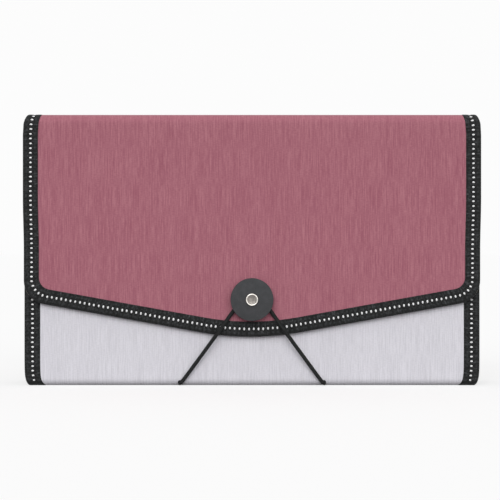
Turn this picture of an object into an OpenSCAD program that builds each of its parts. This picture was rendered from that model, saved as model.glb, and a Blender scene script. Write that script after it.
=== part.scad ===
// Coupon organizer wallet: a cloth-covered board cover bound with tape, a pleated pocket stack inside,
// and a flap that an elastic loop holds shut round a riveted disc.
// The wallet stands on its bottom edge. X runs across, +Y runs to the back, +Z runs up.

/* [Cover] */
// Width of the flap across its bound edges
flap_w = 190; // [150:1:260]
// How far the front, back and bottom panels stand inside the flap's sides
panel_inset = 0.3; // [0:0.1:3]
// How far the top strip and its two folds stand inside the flap's sides
top_inset = 0.7; // [0:0.1:3]
// Height over which the flap narrows to the width of the top strip
ease_h = 14; // [6:1:30]
// Height of the closed wallet
cover_h = 112.6; // [95:0.2:160]
// How far the front panel's upper edge stays below the top of the closed wallet
front_drop = 5.2; // [4.8:0.1:12]
// Outside radius of the two cloth folds at the top
fold_r = 4; // [3:0.1:6]
// Height of the flap's lowest point above the base
nose_z = 20.3; // [12:0.1:40]
// Place of the flap's lowest point, to the right of the middle
nose_x = -0.6; // [-3:0.1:3]
// Radius of the flap's lowest point
nose_r = 113; // [40:1:170]
// Slope of the flap's lower edge in degrees
edge_slope = 10.2; // [4:0.1:14]
// Radius of the flap's lower corners
corner_r = 8.4; // [5:0.1:12]
// Radius of the cloth inside the tape at the lower corners
inner_corner_r = 4; // [2:0.1:7]

/* [Layers] */
// Thickness of the outer cloth
cloth_t = 0.5; // [0.3:0.05:0.8]
// Thickness of the stiffening board
board_t = 1.5; // [1:0.1:2.4]
// Thickness of the inner lining
lining_t = 0.4; // [0.3:0.05:0.7]
// Width of the folded binding tape on each face
tape_w = 6.4; // [4:0.1:9]
// Thickness of the binding tape
tape_t = 0.6; // [0.4:0.05:0.8]
// Gap at a seam between two layers of one panel
seam = 0.1; // [0.05:0.01:0.2]
// Gap between pieces that move past each other
fit = 0.3; // [0.2:0.05:0.5]

/* [Pockets] */
// Distance from one divider to the next
pocket_pitch = 4.8; // [3.4:0.1:6]
// Thickness of a divider leaf
leaf_t = 0.5; // [0.4:0.05:0.8]
// How far the divider leaves stay below the top of the closed wallet, without their tabs
leaf_drop = 14.6; // [12:0.2:24]
// Height of the lower ends of the leaves above the base
leaf_foot = 6.4; // [6:0.1:12]
// How far the leaves stand inside the panels' sides
leaf_inset = 7.3; // [6.5:0.1:14]
// Width of an index tab
tab_w = 24; // [14:1:30]
// Height of an index tab above its leaf
tab_h = 8; // [5:0.5:11]
// Width of the blank label on a tab
label_w = 18; // [10:1:22]
// Height of the blank label on a tab
label_h = 5; // [3:0.5:7]
// Thickness of the blank label
label_t = 0.2; // [0.1:0.05:0.4]
// Depth of the side pleats from the leaves' edges
pleat_depth = 9; // [5:0.5:14]
// Height of the pleat fold at the foot of a pocket
foot_fold = 3; // [2:0.5:5]
// Thickness of the pleat film
pleat_t = 0.3; // [0.2:0.05:0.4]

/* [Closure] */
// Height of the disc's centre above the flap's lowest point
disc_rise = 15.6; // [12:0.1:24]
// Place of the disc's centre, to the right of the middle
disc_x = 0; // [-3:0.1:3]
// Diameter of the disc
disc_d = 17.7; // [12:0.1:22]
// Thickness of the disc
disc_t = 1.4; // [1:0.1:2]
// Diameter of the rivet's head
rivet_d = 5.2; // [4:0.1:7]
// Height of the rivet's head in front of the disc
rivet_h = 0.7; // [0.5:0.1:1.2]
// Diameter of the rivet's shank
shank_d = 2.8; // [2:0.1:3.4]
// Diameter of the spacer that the elastic goes round
spacer_d = 4.8; // [3.8:0.1:5]
// Length of the spacer between the flap and the disc
spacer_t = 2; // [1.9:0.05:2.4]
// Diameter of the burr that the rivet is set on, inside the flap
burr_d = 6; // [5:0.1:8]
// Thickness of the burr
burr_t = 0.7; // [0.5:0.05:0.9]
// Diameter of the elastic cord
cord_d = 1.6; // [1.2:0.1:1.7]
// Length of a stop knot on the elastic
knot_l = 2; // [1.5:0.1:2.4]
// Diameter of a stop knot on the elastic
knot_d = 2.8; // [2.4:0.1:3]

/* [Hidden] */
$fn = 64;
pockets = 5;
corner_steps = 10;
float_gap = 0.2;
panel_w = flap_w - 2 * panel_inset;
top_w = flap_w - 2 * top_inset;
leaf_w = panel_w - 2 * leaf_inset;
front_h = cover_h - front_drop;
leaf_top = cover_h - leaf_drop;
disc_z = nose_z + disc_rise;
panel_t = cloth_t + board_t + lining_t;
stack_t = pockets * pocket_pitch + leaf_t;
flap_gap = fit + seam;
depth = 3 * panel_t + stack_t + flap_gap + spacer_t + disc_t + rivet_h + 2 * float_gap;
back_face = depth / 2;
back_in = back_face - panel_t;
front_in = back_in - stack_t;
front_face = front_in - panel_t;
flap_in = front_face - flap_gap;
flap_face = flap_in - panel_t;
spacer_face = flap_face - spacer_t;
disc_back = spacer_face - float_gap;
disc_face = disc_back - disc_t;
rivet_back = disc_face - float_gap;
fold_z = cover_h - fold_r;
fold_front_y = flap_face + fold_r;
fold_back_y = back_face - fold_r;
foot_r = panel_t / 2;
hinge_gap = 3.2;
cord_x = 29.4;
cord_in_y = -6.9;
notch_w = cord_d + 2 * fit;
notch_h = cord_d + 1;
knot_z = panel_t + fit;
tab_span = leaf_w - tab_w - 2 * pleat_depth;
dividers = pockets - 1;

pink = [0.63, 0.38, 0.43];
lilac = [0.81, 0.80, 0.83];
charcoal = [0.14, 0.14, 0.15];
lining_grey = [0.36, 0.35, 0.37];
board_grey = [0.62, 0.60, 0.56];
leaf_grey = [0.24, 0.24, 0.26];
label_white = [0.92, 0.92, 0.90];
nickel = [0.78, 0.76, 0.72];
disc_grey = [0.26, 0.26, 0.28];

// The elastic's route, from its left knot round the spacer to its right knot
cord_route = [
    [-29.4, -6.9, 4.6],
    [-29.4, -6.9, 2.8],
    [-29.4, -7.4, 1.7],
    [-29.4, -9.1, 1.1],
    [-29.4, -10.7, 1.1],
    [-29.1, -11.7, 1.7],
    [-28.1, -12.1, 2.9],
    [-15.6, -14.7, 20],
    [-14, -14.9, 22.2],
    [-6.9, -14.9, 32.3],
    [-2.9, -14.9, 38],
    [-1.9, -14.9, 38.9],
    [0, -14.9, 39.4],
    [1.9, -14.9, 38.9],
    [2.9, -14.9, 38],
    [6.9, -14.9, 32.3],
    [14, -14.9, 22.2],
    [15.6, -14.7, 20],
    [28.1, -12.1, 2.9],
    [29.1, -11.7, 1.7],
    [29.4, -10.7, 1.1],
    [29.4, -9.1, 1.1],
    [29.4, -7.4, 1.7],
    [29.4, -6.9, 2.8],
    [29.4, -6.9, 4.6]
];
cord_sides = 8;
cord_step = 4;

// The flap's outline in X and Z, drawn in from its edge by inset, open at the top
function nose_end(inset) =
    [(nose_r - inset) * sin(edge_slope), nose_z + inset + (nose_r - inset) * (1 - cos(edge_slope))];

function flap_corner(inset, r, side) =
    let (
        end = nose_end(inset),
        side_x = side * (flap_w / 2 - inset),
        centre_x = side_x - side * r,
        run = side * (centre_x - nose_x) - end[0],
        centre_z = end[1] + run * tan(edge_slope) + r / cos(edge_slope)
    )
    [for (i = [0:corner_steps])
        let (a = i * (90 - edge_slope) / corner_steps)
            [centre_x + side * r * cos(a), centre_z - r * sin(a)]];

function flap_nose(inset) =
    [for (a = [edge_slope:-edge_slope / 5:-edge_slope])
        [nose_x + (nose_r - inset) * sin(a), nose_z + nose_r - (nose_r - inset) * cos(a)]];

function reversed(list) = [for (i = [len(list) - 1:-1:0]) list[i]];

function flap_shoulder(inset, top, side) =
    [[side * (top_w / 2 - inset), top], [side * (flap_w / 2 - inset), fold_z - ease_h]];

function flap_outline(inset, r, top) = concat(
    flap_shoulder(inset, top, 1),
    flap_corner(inset, r, 1),
    flap_nose(inset),
    reversed(flap_corner(inset, r, -1)),
    reversed(flap_shoulder(inset, top, -1))
);

// A plate of the flap's outline, from depth t0 to depth t1 behind the flap's outer face
module flap_plate(inset, r, t0, t1, top = fold_z - seam) {
    translate([0, flap_face + t1, 0])
        rotate([90, 0, 0])
            linear_extrude(t1 - t0)
                polygon(flap_outline(inset, r, top));
}

// Places a shape drawn along +Z so that it points out of the flap at the disc's centre
module at_disc(y) {
    translate([disc_x, y, disc_z])
        rotate([90, 0, 0])
            children();
}

// Draws a profile of depth and height as a strip that runs across, centred
module across(width) {
    translate([-width / 2, 0, 0])
        rotate([90, 0, 90])
            linear_extrude(width)
                children();
}

// One end of a strip, at the left (side = -1) or the right (side = 1)
module at_side(side, half_width, length) {
    translate([side > 0 ? half_width - length : -half_width, 0, 0])
        rotate([90, 0, 90])
            linear_extrude(length)
                children();
}

// Upright panels. Depth runs from the outer face inwards, and the foot is half round
module foot_profile(r, h) {
    translate([foot_r, foot_r])
        circle(r);
    translate([foot_r - r, foot_r])
        square([2 * r, h - foot_r]);
}

module panel_cloth(w, h) {
    across(w - 2 * (tape_w + seam)) {
        translate([0, foot_r])
            square([cloth_t, h - foot_r]);
        difference() {
            translate([foot_r, foot_r])
                circle(foot_r);
            translate([foot_r, foot_r])
                circle(foot_r - cloth_t);
            translate([0, foot_r])
                square([panel_t, foot_r]);
        }
    }
}

module panel_board(w, h) {
    across(w - 2 * (tape_w + seam)) {
        translate([cloth_t, foot_r])
            square([board_t, h - foot_r]);
        translate([foot_r, foot_r])
            circle(foot_r - cloth_t - seam);
    }
    rim_t = panel_t - 2 * (tape_t + seam);
    across(w - 2 * (tape_t + seam))
        translate([tape_t + seam, foot_r])
            square([rim_t, h - foot_r]);
}

module panel_lining(w, h) {
    across(w - 2 * (tape_w + seam))
        translate([panel_t - lining_t, foot_r])
            square([lining_t, h - foot_r]);
}

module panel_binding(w, h, side) {
    difference() {
        at_side(side, w / 2, tape_w)
            foot_profile(foot_r, h);
        at_side(side, w / 2 - tape_t, tape_w)
            translate([tape_t, foot_r])
                square([panel_t - 2 * tape_t, h]);
    }
}

// Notches in a panel's foot where the elastic turns under it
module cord_notches(depth_from, depth_to) {
    for (x = [-cord_x, cord_x])
        translate([x - notch_w / 2, depth_from, -1])
            cube([notch_w, depth_to - depth_from, notch_h + 1]);
}

// Flat strips. Depth runs from the outer face inwards along +Y, length along +Z
module strip_layer(w, length, t0, t1) {
    translate([-w / 2, t0, 0])
        cube([w, t1 - t0, length]);
}

module strip_board(w, length) {
    strip_layer(w - 2 * (tape_w + seam), length, cloth_t, cloth_t + board_t);
    strip_layer(w - 2 * (tape_t + seam), length, tape_t + seam, panel_t - tape_t - seam);
}

module strip_binding(w, length, side) {
    difference() {
        translate([side > 0 ? w / 2 - tape_w : -w / 2, 0, 0])
            cube([tape_w, panel_t, length]);
        translate([side > 0 ? w / 2 - 2 * tape_w : -w / 2 + tape_t, tape_t, -1])
            cube([2 * tape_w - tape_t, panel_t - 2 * tape_t, length + 2]);
    }
}

module at_back() {
    translate([0, back_face, 0])
        mirror([0, 1, 0])
            children();
}

module at_front() {
    translate([0, front_face, 0])
        children();
}

// Back panel
back_h = fold_z - seam;

module back_board() {
    color(board_grey)
        at_back()
            panel_board(panel_w, back_h);
}

module back_cloth() {
    color(pink)
        at_back()
            panel_cloth(panel_w, back_h);
}

module back_lining() {
    color(lining_grey)
        at_back()
            panel_lining(panel_w, back_h);
}

module back_binding(side) {
    color(charcoal)
        at_back()
            panel_binding(panel_w, back_h, side);
}

// Bottom strip between the two panels
bottom_front = front_in + hinge_gap;
bottom_len = back_in - bottom_front;
skirt_front = front_in + fit;
skirt_len = back_in - skirt_front;

module at_bottom(y) {
    translate([0, y, 0])
        mirror([0, 0, 1])
            rotate([-90, 0, 0])
                children();
}

module bottom_board() {
    color(board_grey)
        at_bottom(bottom_front)
            strip_board(panel_w, bottom_len);
}

module bottom_cloth() {
    color(lilac)
        difference() {
            at_bottom(skirt_front)
                strip_layer(panel_w - 2 * (tape_w + seam), skirt_len, 0, cloth_t);
            cord_notches(skirt_front - 1, bottom_front);
        }
}

module bottom_lining() {
    color(lining_grey)
        at_bottom(bottom_front)
            strip_layer(panel_w - 2 * (tape_w + seam), bottom_len, panel_t - lining_t, panel_t);
}

module bottom_binding(side) {
    color(charcoal)
        at_bottom(skirt_front)
            strip_binding(panel_w, skirt_len, side);
}

// Front panel
module front_board() {
    color(board_grey)
        difference() {
            at_front()
                panel_board(panel_w, front_h - cloth_t);
            cord_notches(front_face - 1, front_in + 1);
        }
}

module front_cloth() {
    color(lilac)
        difference() {
            at_front() {
                panel_cloth(panel_w, front_h);
                translate([0, 0, front_h - cloth_t])
                    strip_layer(panel_w - 2 * (tape_w + seam), cloth_t, 0, panel_t);
            }
            cord_notches(front_face - 1, front_in + 1);
        }
}

module front_lining() {
    color(lining_grey)
        difference() {
            at_front()
                panel_lining(panel_w, front_h - cloth_t);
            cord_notches(front_in - 1, front_in + 1);
        }
}

module front_binding(side) {
    color(charcoal)
        at_front()
            panel_binding(panel_w, front_h, side);
}

// Top strip and the two folds beside it
top_len = fold_back_y - fold_front_y;

module at_top() {
    translate([0, fold_front_y, cover_h])
        rotate([-90, 0, 0])
            children();
}

module top_board() {
    color(board_grey)
        at_top()
            strip_board(top_w, top_len);
}

module top_cloth() {
    color(pink)
        at_top()
            strip_layer(top_w - 2 * (tape_w + seam), top_len, 0, cloth_t);
}

module top_lining() {
    color(lining_grey)
        at_top()
            strip_layer(top_w - 2 * (tape_w + seam), top_len, panel_t - lining_t, panel_t);
}

module top_binding(side) {
    color(charcoal)
        at_top()
            strip_binding(top_w, top_len, side);
}

// A quarter ring of the fold's section, between radii r0 and r1, turned down from the top
module fold_ring(r0, r1) {
    intersection() {
        difference() {
            circle(r1);
            circle(r0);
        }
        translate([-r1 - 1, seam])
            square([r1 + 1 - seam, r1 + 1]);
    }
}

module fold_cloth() {
    across(top_w - 2 * (tape_w + seam))
        fold_ring(fold_r - cloth_t - lining_t, fold_r);
}

module fold_binding() {
    for (side = [-1, 1])
        difference() {
            at_side(side, top_w / 2, tape_w)
                fold_ring(fold_r - panel_t, fold_r);
            at_side(side, top_w / 2 - tape_t, tape_w)
                fold_ring(fold_r - panel_t + tape_t, fold_r - tape_t);
        }
}

module at_front_fold() {
    translate([0, fold_front_y, fold_z])
        children();
}

module at_back_fold() {
    translate([0, fold_back_y, fold_z])
        mirror([0, 1, 0])
            children();
}

module fold_front_cloth() {
    color(pink)
        at_front_fold()
            fold_cloth();
}

module fold_front_binding() {
    color(charcoal)
        at_front_fold()
            fold_binding();
}

module fold_back_cloth() {
    color(pink)
        at_back_fold()
            fold_cloth();
}

module fold_back_binding() {
    color(charcoal)
        at_back_fold()
            fold_binding();
}

// Flap
module shank_hole(r) {
    at_disc(flap_in + 1)
        cylinder(h = panel_t + 2, r = r);
}

module flap_board() {
    color(board_grey)
        difference() {
            union() {
                flap_plate(tape_w + seam, inner_corner_r, cloth_t, cloth_t + board_t);
                flap_plate(tape_t + seam, corner_r - tape_t, tape_t + seam, panel_t - tape_t - seam);
            }
            shank_hole(shank_d / 2 + seam);
            at_disc(flap_in)
                cylinder(h = burr_t + seam, r = burr_d / 2 + seam);
        }
}

module flap_cloth() {
    color(pink)
        difference() {
            flap_plate(tape_w + seam, inner_corner_r, 0, cloth_t);
            shank_hole(shank_d / 2 + seam);
        }
}

module flap_lining() {
    color(lining_grey)
        difference() {
            flap_plate(tape_w + seam, inner_corner_r, panel_t - lining_t, panel_t);
            shank_hole(burr_d / 2 + seam);
        }
}

module flap_binding() {
    color(charcoal)
        difference() {
            flap_plate(0, corner_r, 0, panel_t);
            flap_plate(tape_w, inner_corner_r, -1, panel_t + 1, cover_h);
            flap_plate(tape_t, corner_r - tape_t, tape_t, panel_t - tape_t, cover_h);
        }
}

// Disc closure
rivet_len = disc_t + spacer_t + 2 * float_gap + panel_t - seam;

module rivet() {
    rim_w = 0.7;
    rim_round = 0.2;
    dish = 0.35;
    color(nickel)
        at_disc(rivet_back)
            rotate_extrude()
                polygon([
                    [0, -rivet_len],
                    [shank_d / 2, -rivet_len],
                    [shank_d / 2, 0],
                    [rivet_d / 2, 0],
                    [rivet_d / 2 - rim_round, rivet_h - rim_round],
                    [rivet_d / 2 - rim_w / 2, rivet_h],
                    [rivet_d / 2 - rim_w, rivet_h - rim_round / 2],
                    [rivet_d / 2 - rim_w - rim_round, rivet_h - dish],
                    [0, rivet_h - dish]
                ]);
}

module spacer() {
    color(disc_grey)
        at_disc(flap_face)
            difference() {
                cylinder(h = spacer_t, r = spacer_d / 2);
                translate([0, 0, -1])
                    cylinder(h = spacer_t + 2, r = shank_d / 2 + seam);
            }
}

module burr() {
    color(nickel)
        at_disc(flap_in)
            difference() {
                cylinder(h = burr_t, r = burr_d / 2);
                translate([0, 0, -1])
                    cylinder(h = burr_t + 2, r = shank_d / 2 + seam);
            }
}

module closure_disc() {
    color(disc_grey)
        at_disc(disc_back)
            difference() {
                cylinder(h = disc_t, r = disc_d / 2);
                translate([0, 0, -1])
                    cylinder(h = disc_t + 2, r = shank_d / 2 + float_gap);
            }
}

// Elastic loop: a tube swept along the route, with a ring at least every cord_step
function unit(v) = v / norm(v);

function steps_between(a, b) = max(1, ceil(norm(b - a) / cord_step));

function dense(route) = concat(
    [for (i = [0:len(route) - 2])
        let (a = route[i], b = route[i + 1], n = steps_between(a, b))
            for (s = [0:n - 1]) a + (b - a) * s / n],
    [route[len(route) - 1]]
);

function tangent(path, i) =
    unit(path[min(i + 1, len(path) - 1)] - path[max(i - 1, 0)]);

function carried(normal, along) = unit(normal - along * (normal * along));

function ring_normals(path, i = 0, before = [0, -1, 0]) =
    i == len(path) ? [] :
    let (n = carried(before, tangent(path, i)))
    concat([n], ring_normals(path, i + 1, n));

module tube(path, r, sides) {
    normals = ring_normals(path);
    rings = len(path);
    points = [
        for (i = [0:rings - 1])
            let (n = normals[i], b = cross(tangent(path, i), n))
            for (s = [0:sides - 1])
                path[i] + r * (n * cos(360 * s / sides) + b * sin(360 * s / sides))
    ];
    walls = [
        for (i = [0:rings - 2])
            for (s = [0:sides - 1])
                let (a = i * sides + s, b = i * sides + (s + 1) % sides)
                for (face = [[a, a + sides, b], [b, a + sides, b + sides]]) face
    ];
    first_end = [for (s = [0:sides - 1]) s];
    last_end = [for (s = [sides - 1:-1:0]) (rings - 1) * sides + s];
    polyhedron(points, concat(walls, [first_end, last_end]));
}

module elastic_loop() {
    color(charcoal)
        tube(dense(cord_route), cord_d / 2, cord_sides);
}

module elastic_knots() {
    color(charcoal)
        for (x = [-cord_x, cord_x])
            translate([x, cord_in_y, knot_z])
                difference() {
                    cylinder(h = knot_l, r = knot_d / 2);
                    translate([0, 0, -1])
                        cylinder(h = knot_l + 2, r = cord_d / 2 + seam);
                }
}

// Pocket stack. Leaf 0 lies on the back lining and the last leaf on the front lining
function leaf_y(k) = back_in - leaf_t / 2 - k * pocket_pitch;

function tab_x(k) = -tab_span / 2 + (k - 1) * tab_span / (dividers - 1);

module leaf(k) {
    translate([-leaf_w / 2, leaf_y(k) - leaf_t / 2, leaf_foot])
        cube([leaf_w, leaf_t, leaf_top - leaf_foot]);
}

module divider(k) {
    color(leaf_grey) {
        leaf(k);
        translate([tab_x(k) - tab_w / 2, leaf_y(k) - leaf_t / 2, leaf_top - seam])
            cube([tab_w, leaf_t, tab_h + seam]);
    }
}

module tab_label(k) {
    color(label_white)
        translate([
            tab_x(k) - label_w / 2,
            leaf_y(k) - leaf_t / 2 - label_t,
            leaf_top + (tab_h - label_h) / 2
        ])
            cube([label_w, label_t, label_h]);
}

// Pleated film of pocket k, which joins leaf k - 1 to leaf k at both sides and at the foot
module pleat(run, wide) {
    half = wide / 2;
    polygon([
        [0, 0],
        [-run, -half],
        [0, -wide],
        [0, pleat_t - wide],
        [-run * (1 - pleat_t / half), -half],
        [0, -pleat_t]
    ]);
}

module gusset(k) {
    wide = pocket_pitch - leaf_t - fit;
    rear_y = leaf_y(k - 1) - leaf_t / 2;
    inner = leaf_w / 2 - pleat_depth;
    color(leaf_grey) {
        for (side = [0, 1])
            mirror([side, 0, 0])
                translate([leaf_w / 2, rear_y, leaf_foot])
                    linear_extrude(leaf_top - leaf_foot)
                        pleat(pleat_depth, wide);
        translate([-inner - pleat_t, rear_y, leaf_foot])
            rotate([0, 90, 0])
                linear_extrude(2 * (inner + pleat_t))
                    pleat(foot_fold, wide);
    }
}

back_board();
back_cloth();
back_lining();
back_binding(-1);  // back_binding_left
back_binding(1);  // back_binding_right
bottom_board();
bottom_cloth();
bottom_lining();
bottom_binding(-1);  // bottom_binding_left
bottom_binding(1);  // bottom_binding_right
color(leaf_grey) leaf(0);  // back_leaf
front_board();
front_cloth();
front_lining();
front_binding(-1);  // front_binding_left
front_binding(1);  // front_binding_right
color(leaf_grey) leaf(pockets);  // front_leaf
elastic_knots();
divider(1);  // divider_1
divider(2);  // divider_2
divider(3);  // divider_3
divider(4);  // divider_4
tab_label(1);  // tab_label_1
tab_label(2);  // tab_label_2
tab_label(3);  // tab_label_3
tab_label(4);  // tab_label_4
gusset(1);  // gusset_1
gusset(2);  // gusset_2
gusset(3);  // gusset_3
gusset(4);  // gusset_4
gusset(5);  // gusset_5
top_board();
top_cloth();
top_lining();
top_binding(-1);  // top_binding_left
top_binding(1);  // top_binding_right
fold_back_cloth();
fold_back_binding();
fold_front_cloth();
fold_front_binding();
flap_board();
flap_cloth();
flap_lining();
flap_binding();
rivet();
spacer();
burr();
closure_disc();
elastic_loop();
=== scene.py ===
import random
from collections import namedtuple
from contextlib import contextmanager
from math import ceil, cos, dist, exp, pi, radians, sin, sqrt, tan

import bpy
from mathutils import Matrix, Vector


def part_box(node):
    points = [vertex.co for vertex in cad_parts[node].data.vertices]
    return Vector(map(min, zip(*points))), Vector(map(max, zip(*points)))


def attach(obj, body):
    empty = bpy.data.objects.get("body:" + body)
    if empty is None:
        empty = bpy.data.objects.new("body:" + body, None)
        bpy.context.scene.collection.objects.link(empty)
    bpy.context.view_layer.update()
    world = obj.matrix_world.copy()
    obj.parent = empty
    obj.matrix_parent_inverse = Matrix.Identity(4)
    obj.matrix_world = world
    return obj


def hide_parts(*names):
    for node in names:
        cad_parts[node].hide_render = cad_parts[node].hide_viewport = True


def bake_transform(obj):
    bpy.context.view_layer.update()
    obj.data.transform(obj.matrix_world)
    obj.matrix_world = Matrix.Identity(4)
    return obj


# The looks of a coupon organizer wallet: cloth covers, stitched binding tape, an elastic loop round a
# riveted disc, and a pleated pocket stack. Metres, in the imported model's frame; the front faces -Y.

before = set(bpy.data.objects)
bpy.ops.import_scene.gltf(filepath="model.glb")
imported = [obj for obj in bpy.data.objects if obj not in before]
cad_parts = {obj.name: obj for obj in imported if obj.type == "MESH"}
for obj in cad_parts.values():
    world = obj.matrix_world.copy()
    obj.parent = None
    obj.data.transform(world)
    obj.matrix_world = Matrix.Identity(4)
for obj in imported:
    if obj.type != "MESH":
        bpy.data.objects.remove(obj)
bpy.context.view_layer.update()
bpy.context.scene.view_settings.view_transform = "Standard"
MM = 0.001

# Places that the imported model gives
flap_low, flap_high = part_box("flap_binding")
FLAP_HALF = flap_high.x
FLAP_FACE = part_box("flap_cloth")[0].y
PANEL_T = flap_high.y - flap_low.y
HALF_T = PANEL_T / 2
NOSE_Z = flap_low.z
top_low, top_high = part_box("top_cloth")
TOP_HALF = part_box("top_binding_right")[1].x
COVER_H = top_high.z
TOP_RUN = (top_high.y - top_low.y) / 2
TOP_MID_Y = (top_high.y + top_low.y) / 2
FOLD_R = top_low.y - FLAP_FACE
FOLD_RUN = FOLD_R * pi / 2
FOLD_Z = COVER_H - FOLD_R
PANEL_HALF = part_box("back_binding_right")[1].x
BACK_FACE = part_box("back_binding_right")[1].y
BACK_IN = BACK_FACE - PANEL_T
front_low, front_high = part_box("front_binding_right")
FRONT_FACE = front_low.y
FRONT_IN = front_high.y
FRONT_MID = (FRONT_FACE + FRONT_IN) / 2
FRONT_H = front_high.z
TAPE_W = PANEL_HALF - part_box("back_binding_right")[0].x
BOTTOM_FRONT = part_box("bottom_cloth")[0].y
disc_low, disc_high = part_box("closure_disc")
DISC_R = (disc_high.x - disc_low.x) / 2
DISC_X = (disc_high.x + disc_low.x) / 2
DISC_Z = (disc_high.z + disc_low.z) / 2
DISC_HOLE_R = 1.5 * MM
rivet_low, rivet_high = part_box("rivet")

# The flap's outline, as it was cut
EDGE_SLOPE = radians(10.2)
NOSE_R = 113 * MM
NOSE_X = -0.6 * MM
CORNER_R = 9.8 * MM
INNER_CORNER_R = 5 * MM
CORNER_STEPS = 10

# The binding tape: how far it stands proud, how thick it is, where it is sewn
TAPE_LIFT = 0.3 * MM
TOP_TAPE_LIFT = 0.1 * MM
FRONT_TAPE_LIFT = 0.2 * MM
FRONT_TAPE_W = TAPE_W + 0.3 * MM
TAPE_T = 0.38 * MM
SEAM_INSET = TAPE_W / 2 + 0.15 * MM
SEAM_DIP = 0.12 * MM
# Lengths at the ends of the back's and the front's seams that have no stitches
BACK_BARE = (0, 2 * MM)
FRONT_BARE = (6.28 * MM, 1.5 * MM)
# The longest piece of tape between two stations
STATION_RUN = 6 * MM
STITCH_PITCH = 1.97 * MM
STITCH_W = 0.78 * MM
STITCH_L = 1.25 * MM
STITCH_H = 0.42 * MM

# How the taped sides draw in at the folds and at the foot, and how the flap's sides draw in lower down
TOP_DRAW = 0.7 * MM
DRAW_RUN = 10 * MM
FOOT_DRAW = 2.1 * MM
FOOT_RUN = 1.9 * MM
FLAP_DRAW = 0.4 * MM
FLAP_DRAW_Z = (78 * MM, 56 * MM)
LIFT_RUN = 6 * MM
# Heights at which the panels are shaped above their feet, from the tape's straight run down
FOOT_HEIGHTS = [h * MM for h in (14, 10, 7.5, 5.5, 4, 3, 2.2, 1.6)]

# Cloth that runs on under the tape, and how deep cloth and lining lie below the panel's faces
TUCK = 3 * MM
CLOTH_SINK = 0.05 * MM
LINING_SINK = 0.2 * MM
CLOTH_T = 0.45 * MM
LINING_T = 0.3 * MM
# The front's lining runs less far under its tape, and the bottom's starts behind the front panel
LINING_TUCK = 0.6 * MM
BOTTOM_LINING_BACK = 3.2 * MM
# The round of the front panel's foot, and the slots in it that the elastic turns under
FOOT_R = 3 * MM
SLOT_W = 1.9 * MM
SLOT_H = 2.2 * MM

# The elastic: its size, and its route as in the part's source, with its feet set a little further out
CORD_D = 1.6 * MM
CORD_SIDES = 12
CORD_RING_RUN = 0.6 * MM
CORD_ROUTE = [Vector(p) * MM for p in (
    (-29.4, -6.9, 4.6), (-29.4, -6.9, 2.8), (-29.6, -7.4, 1.6), (-29.9, -9.1, 0.95), (-30, -10.7, 0.9),
    (-29.5, -11.7, 1.4), (-28.1, -12.1, 2.9), (-15.6, -14.7, 20), (-14, -14.9, 22.2), (-6.9, -14.9, 32.3),
    (-2.9, -14.9, 38), (-1.9, -14.9, 38.9), (0, -14.9, 39.4), (1.9, -14.9, 38.9), (2.9, -14.9, 38),
    (6.9, -14.9, 32.3), (14, -14.9, 22.2), (15.6, -14.7, 20), (28.1, -12.1, 2.9), (29.5, -11.7, 1.4),
    (30, -10.7, 0.9), (29.9, -9.1, 0.95), (29.6, -7.4, 1.6), (29.4, -6.9, 2.8), (29.4, -6.9, 4.6),
)]

# Pocket stack: the dividers' tabs, and the gussets' film and pleats
TAB_W = 24 * MM
TAB_H = 8 * MM
FILM_T = 0.28 * MM
PLEAT_DEPTH = 9 * MM
FOOT_PLEAT_H = 3 * MM
# A pleat's section, as shares of its depth and of its width
PLEAT = [
    (0, 0), (0.35, 0.12), (0.7, 0.24), (0.93, 0.34), (1, 0.5),
    (0.93, 0.66), (0.7, 0.76), (0.35, 0.88), (0, 1),
]

# The photograph's frame: pixels across, and where the wallet's centre line and base stand in it
FRAME_PX = 500
CENTRE_PX = 252.0
BASE_PX = 386.1
PX = 0.4139 * MM
CAMERA_AWAY = 0.7

thread_luck = random.Random(7)


# Camera
def add_camera():
    """A level camera, square on to the flap, framed as the photograph is."""
    x = (FRAME_PX / 2 - CENTRE_PX) * PX
    z = (BASE_PX - FRAME_PX / 2) * PX
    bpy.ops.object.camera_add(location=(x, FLAP_FACE - CAMERA_AWAY, z), rotation=(pi / 2, 0, 0))
    camera = bpy.context.object
    camera.data.sensor_width = 36
    camera.data.lens = camera.data.sensor_width * CAMERA_AWAY / (FRAME_PX * PX)
    camera.data.clip_start = 0.01
    bpy.context.scene.camera = camera


# Handwork shared by the pieces
def pick(*pieces):
    """Selects these pieces alone, and makes the first the active one."""
    bpy.ops.object.select_all(action="DESELECT")
    for piece in pieces:
        piece.select_set(True)
    bpy.context.view_layer.objects.active = pieces[0]


def finish_with(piece, kind, **settings):
    """Adds a modifier with these settings and applies it."""
    modifier = piece.modifiers.new(kind.title(), kind)
    for name, value in settings.items():
        setattr(modifier, name, value)
    pick(piece)
    bpy.ops.object.modifier_apply(modifier=modifier.name)


def shade(piece, angle=40):
    pick(piece)
    bpy.ops.object.shade_smooth_by_angle(angle=radians(angle))


def settle(piece, name, finish):
    """Puts a piece's place into its mesh, and gives it its name and its finish."""
    pick(piece)
    bpy.ops.object.transform_apply(location=True, rotation=True, scale=True)
    piece.name = piece.data.name = name
    piece.data.materials.clear()
    piece.data.materials.append(finish)
    return piece


def together(pieces, name):
    """Several pieces made one."""
    pick(*pieces)
    bpy.ops.object.join()
    pieces[0].name = pieces[0].data.name = name
    return pieces[0]


@contextmanager
def editing(piece, kind, wanted=lambda part: True):
    """Edit mode, with only those vertices, edges or faces selected that wanted says yes to."""
    bpy.ops.object.mode_set(mode="EDIT")
    bpy.ops.mesh.select_mode(type=kind)
    bpy.ops.mesh.select_all(action="DESELECT")
    bpy.ops.object.mode_set(mode="OBJECT")
    parts = {"VERT": piece.data.vertices, "EDGE": piece.data.edges, "FACE": piece.data.polygons}[kind]
    for part in parts:
        part.select = bool(wanted(part))
    bpy.ops.object.mode_set(mode="EDIT")
    yield
    bpy.ops.object.mode_set(mode="OBJECT")


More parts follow.
